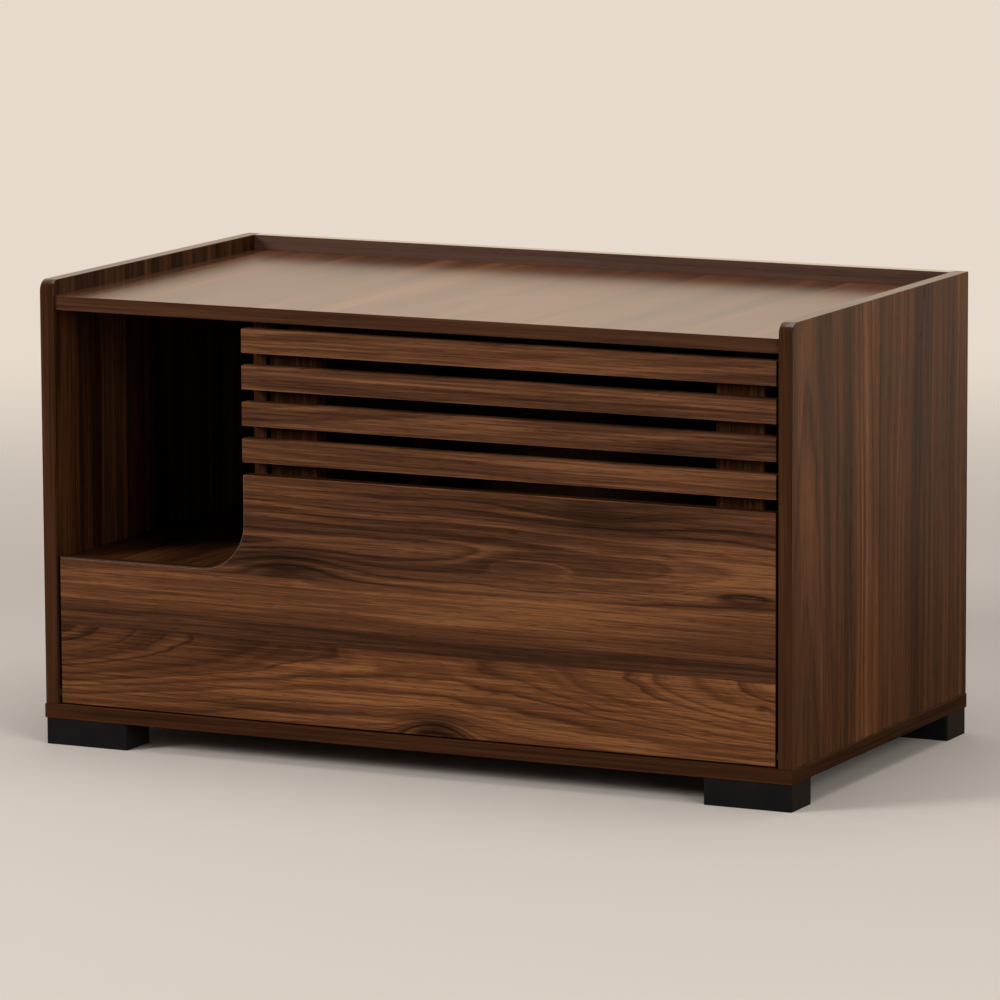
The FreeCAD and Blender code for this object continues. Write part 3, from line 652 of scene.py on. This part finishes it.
slatNodes = ["slat_1", "slat_2", "slat_3", "slat_4"]
slatLow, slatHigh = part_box(slatNodes[0])
slatSize, slatMiddle = slatHigh - slatLow, (slatLow + slatHigh) / 2
slatRow = {
    "Count": len(slatNodes), "Length": slatSize.x, "Height": slatSize.z, "Thickness": slatSize.y,
    "Pitch": (slatLow.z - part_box(slatNodes[-1])[0].z) / (len(slatNodes) - 1), "Arris": 0.0009,
    "Arris Steps": 2, "Start": (slatLow.x, slatMiddle.y, slatMiddle.z), "Material": finishes["slat"]}
slatMesh = growMesh("slatRow", slatTree, bpy.data.meshes.new("slatSeed"), slatRow)
addPiece("front_slats", slatMesh, "front", "walnut_laminate", *slatNodes)
print("slats grown,", len(slatMesh.polygons), "faces")

screwLook = {"headSides": 24, "shankSides": 12, "bladeShare": 1.25, "near": 1e-4}


def ringRadius(points, middle, axis, level, look):
    arms = [point - middle for point in points if abs(point[axis] - level) < look["near"]]
    for arm in arms:
        arm[axis] = 0
    return max(arm.length for arm in arms)


def screwSpots(node, look):
    # head centre, way out of the board and length of each screw in a node
    shape = weldedCopy(node, boardLook)
    spots = []
    for island in joinedGroups(shape.verts, touchingCorners):
        points = [corner.co.copy() for corner in island]
        low = Vector([min(point[axis] for point in points) for axis in range(3)])
        high = Vector([max(point[axis] for point in points) for axis in range(3)])
        length, axis = max((high[axis] - low[axis], axis) for axis in range(3))
        middle = (low + high) / 2
        lowRadius, highRadius = (ringRadius(points, middle, axis, end[axis], look) for end in (low, high))
        outward = Vector((0, 0, 0))
        outward[axis] = 1 if highRadius > lowRadius else -1
        spots.append((middle + outward * length / 2, outward, length))
    shape.free()
    return spots


screwTree, screwIn = newTree("screwSet", {
    "Head Radius": "Float", "Shank Radius": "Float", "Head Depth": "Float", "Length": "Float",
    "Cross Width": "Float", "Cross Depth": "Float", "Material": "Material"})
core = screwIn["Head Radius"]
headCone = core.node("GeometryNodeMeshCone", None,
                     {"Vertices": screwLook["headSides"], "Radius Top": core,
                      "Radius Bottom": screwIn["Shank Radius"], "Depth": screwIn["Head Depth"]})
headDown = core.node("ShaderNodeCombineXYZ", None, {2: 0.0 - screwIn["Head Depth"]})
head = core.node("GeometryNodeTransform", None, {"Geometry": headCone, "Translation": headDown})
recess = core.node("GeometryNodeMeshBoolean", {"operation": "DIFFERENCE"}, {"Mesh 1": head})
blade = core * screwLook["bladeShare"]
for wide, deep in ((blade, screwIn["Cross Width"]), (screwIn["Cross Width"], blade)):
    # half of each blade stands above the head
    size = core.node("ShaderNodeCombineXYZ", None, {0: wide, 1: deep, 2: screwIn["Cross Depth"] * 2})
    tool = core.node("GeometryNodeMeshCube", None, {"Size": size})
    core.tree.links.new(tool.socket, recess.socket.node.inputs["Mesh 2"])
shank = core.node("GeometryNodeMeshCylinder", None,
                  {"Vertices": screwLook["shankSides"], "Radius": screwIn["Shank Radius"],
                   "Depth": screwIn["Length"] - screwIn["Head Depth"]})
shankDown = core.node("ShaderNodeCombineXYZ", None,
                      {2: 0.0 - (screwIn["Length"] + screwIn["Head Depth"]) / 2})
shank = core.node("GeometryNodeTransform", None, {"Geometry": shank, "Translation": shankDown})
whole = core.node("GeometryNodeJoinGeometry")
for part in (shank, recess):
    core.tree.links.new(part.socket, whole.socket.node.inputs[0])
facing = core.node("GeometryNodeInputNamedAttribute", {"data_type": "FLOAT_VECTOR"}, {"Name": "facing"})
turn = core.node("FunctionNodeAlignRotationToVector", {"axis": "Z"}, {"Vector": facing})
screws = core.node("GeometryNodeInstanceOnPoints", None,
                   {"Points": screwIn["Geometry"], "Instance": whole, "Rotation": turn})
closeTree(screws, screwIn["Material"])

smallScrew = {"Head Radius": 0.0035, "Shank Radius": 0.00175, "Head Depth": 0.002,
              "Cross Width": 0.0011, "Cross Depth": 0.0013}
largeScrew = {"Head Radius": 0.005, "Shank Radius": 0.0025, "Head Depth": 0.003,
              "Cross Width": 0.0016, "Cross Depth": 0.002}
screwSets = {
    # node: body, sizes
    "batten_screws": ("front", smallScrew),
    "strike_screws": ("front", smallScrew),
    "catch_screws": ("carcass", smallScrew),
    "foot_screws": ("carcass", smallScrew),
    "base_screws": ("carcass", largeScrew),
}
for node, (body, sizes) in screwSets.items():
    spots = screwSpots(node, screwLook)
    heads, outwards, lengths = zip(*spots)
    seedMesh = bpy.data.meshes.new(node + "Seed")
    seedMesh.from_pydata(list(heads), [], [])
    arrows = seedMesh.attributes.new("facing", "FLOAT_VECTOR", "POINT")
    for item, outward in zip(arrows.data, outwards):
        item.vector = outward
    values = {**sizes, "Length": max(lengths), "Material": finishes["steel"]}
    grown = growMesh(node.replace("_", ""), screwTree, seedMesh, values)
    addPiece(node + "_set", grown, body, "zinc_steel", node)
    print("screws", node, len(spots), "of", len(grown.polygons), "faces")


# CAD nodes that stay as they are
kept = {
    "back_panel": "back", "foot_front_left": "foot", "foot_front_right": "foot", "foot_rear_left": "foot",
    "foot_rear_right": "foot", "left_pivot_pin": "pin", "right_pivot_pin": "pin",
    "left_pivot_bush": "fitting", "right_pivot_bush": "fitting", "left_catch": "fitting",
    "right_catch": "fitting", "strike_plates": "steel", "catch_magnets": "magnet",
    "joint_dowels": "beech", "cam_locks": "cast", "cam_bolts": "steel",
}
for node, finish in kept.items():
    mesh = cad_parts[node].data
    mesh.materials.clear()
    mesh.materials.append(finishes[finish])
print("kept nodes painted,", len(kept))


# stage, light and camera
stageLook = {"floor": (0.64, 0.585, 0.535), "mirrored": (0.25, 0.12, 0.045), "roughness": 0.9, "size": 60.0,
             "near": 0.8, "far": 3.2}
floorMesh = bpy.data.meshes.new("floorMesh")
half = stageLook["size"] / 2
corners = [(-half, -half, 0), (half, -half, 0), (half, half, 0), (-half, half, 0)]
floorMesh.from_pydata(corners, [], [(0, 1, 2, 3)])
floor = bpy.data.objects.new("floor", floorMesh)
bpy.context.scene.collection.objects.link(floor)
floorFinish, floorShader, floorPlace, floorAxes = surface("paleFloor")
# boards mirror a warmer, darker floor than the camera sees
floorRay = floorPlace.node("ShaderNodeLightPath", out="Is Glossy Ray")
feed(floorShader, "Base Color", floorRay.blend(stageLook["floor"], stageLook["mirrored"]))
feed(floorShader, "Roughness", stageLook["roughness"])
# the floor keeps its shadow near the house, fades into the background further out and is clear from below
away = floorPlace.node("ShaderNodeVectorMath", {"operation": "LENGTH"}, {0: floorPlace}, 1)
fade = away.node("ShaderNodeMapRange", {"interpolation_type": "SMOOTHSTEP"},
                 {0: away, 1: stageLook["near"], 2: stageLook["far"]})
fade = fade.maths("MAXIMUM", fade, fade.node("ShaderNodeNewGeometry", out="Backfacing"))
clear = fade.node("ShaderNodeBsdfTransparent")
faded = fade.node("ShaderNodeMixShader", None,
                  {0: fade, 1: Wire(fade.tree, floorShader.outputs[0]), 2: clear})
fade.tree.links.new(faded.socket, fade.tree.nodes["Material Output"].inputs["Surface"])
floorMesh.materials.append(floorFinish)

worldLook = {"light": (0.10, 0.098, 0.095), "backLight": (0.30, 0.288, 0.275), "seen": (0.80, 0.70, 0.61),
             "wall": (0.93, 0.755, 0.59), "dim": (0.05, 0.04, 0.03), "turnLow": -0.1, "turnHigh": 0.4}
world = bpy.data.worlds.new("studio")
bpy.context.scene.world = world
world.use_nodes = True
tree = world.node_tree
way = Wire(tree, tree.nodes.new("ShaderNodeTexCoord").outputs["Generated"])
glossy = way.node("ShaderNodeLightPath", out="Is Glossy Ray")
straight = (way.node("ShaderNodeLightPath", out="Is Camera Ray")
            + way.node("ShaderNodeLightPath", out="Is Transmission Ray"))
# reflections see the pale wall behind the house and a dim room in front of it
toBack = way.node("ShaderNodeSeparateXYZ", None, {0: way}, 1)
toBack = toBack.spread(worldLook["turnLow"], worldLook["turnHigh"])
shown = toBack.blend(worldLook["dim"], worldLook["wall"])
ambient = toBack.blend(worldLook["light"], worldLook["backLight"])
tint = straight.spread(0.0, 1.0).blend(glossy.blend(ambient, shown), worldLook["seen"])
feed(tree.nodes["Background"], "Color", tint)

lamps = {
    # name: place, aim, size, watts, colour, whether boards mirror it
    "rightSoftbox": ((3.6, -2.25, 1.7), (0.0, -0.1, 0.25), 2.2, 87.0, (1.0, 0.98, 0.955), False),
    "leftSoftbox": ((-2.8, -3.1, 2.0), (0.0, -0.1, 0.25), 1.3, 134.0, (1.0, 0.98, 0.955), False),
    "overhead": ((0.2, 0.0, 3.2), (0.0, 0.1, 0.0), 2.5, 50.0, (1.0, 0.98, 0.96), True),
}
for name, (spot, aim, size, watts, colour, mirrored) in lamps.items():
    lamp = bpy.data.lights.new(name, "AREA")
    lamp.size = size
    lamp.energy = watts
    lamp.color = colour
    holder = bpy.data.objects.new(name, lamp)
    holder.location = spot
    holder.visible_glossy = mirrored
    holder.rotation_euler = (Vector(aim) - Vector(spot)).to_track_quat("-Z", "Y").to_euler()
    bpy.context.scene.collection.objects.link(holder)

cameraLook = {"yaw": -26.2607, "pitch": 9.0576, "roll": -0.2864, "lens": 237.31, "sensor": 36,
              "place": (3.02527, -6.1458, 1.34718)}
yaw, pitch, roll = (math.radians(cameraLook[key]) for key in ("yaw", "pitch", "roll"))
ahead = Vector((math.sin(yaw) * math.cos(pitch), math.cos(yaw) * math.cos(pitch), -math.sin(pitch)))
right = Vector((math.cos(yaw), -math.sin(yaw), 0))
up = right.cross(ahead)
turnedRight = right * math.cos(roll) + up * math.sin(roll)
turnedUp = up * math.cos(roll) - right * math.sin(roll)
lens = bpy.data.cameras.new("photoCamera")
lens.sensor_width = cameraLook["sensor"]
lens.lens = cameraLook["lens"]
camera = bpy.data.objects.new("photoCamera", lens)
turnMatrix = Matrix((turnedRight, turnedUp, -ahead)).transposed().to_4x4()
camera.matrix_world = Matrix.Translation(cameraLook["place"]) @ turnMatrix
bpy.context.scene.collection.objects.link(camera)
bpy.context.scene.camera = camera
bpy.context.scene.view_settings.view_transform = "Standard"
print("stage, lamps and camera set")
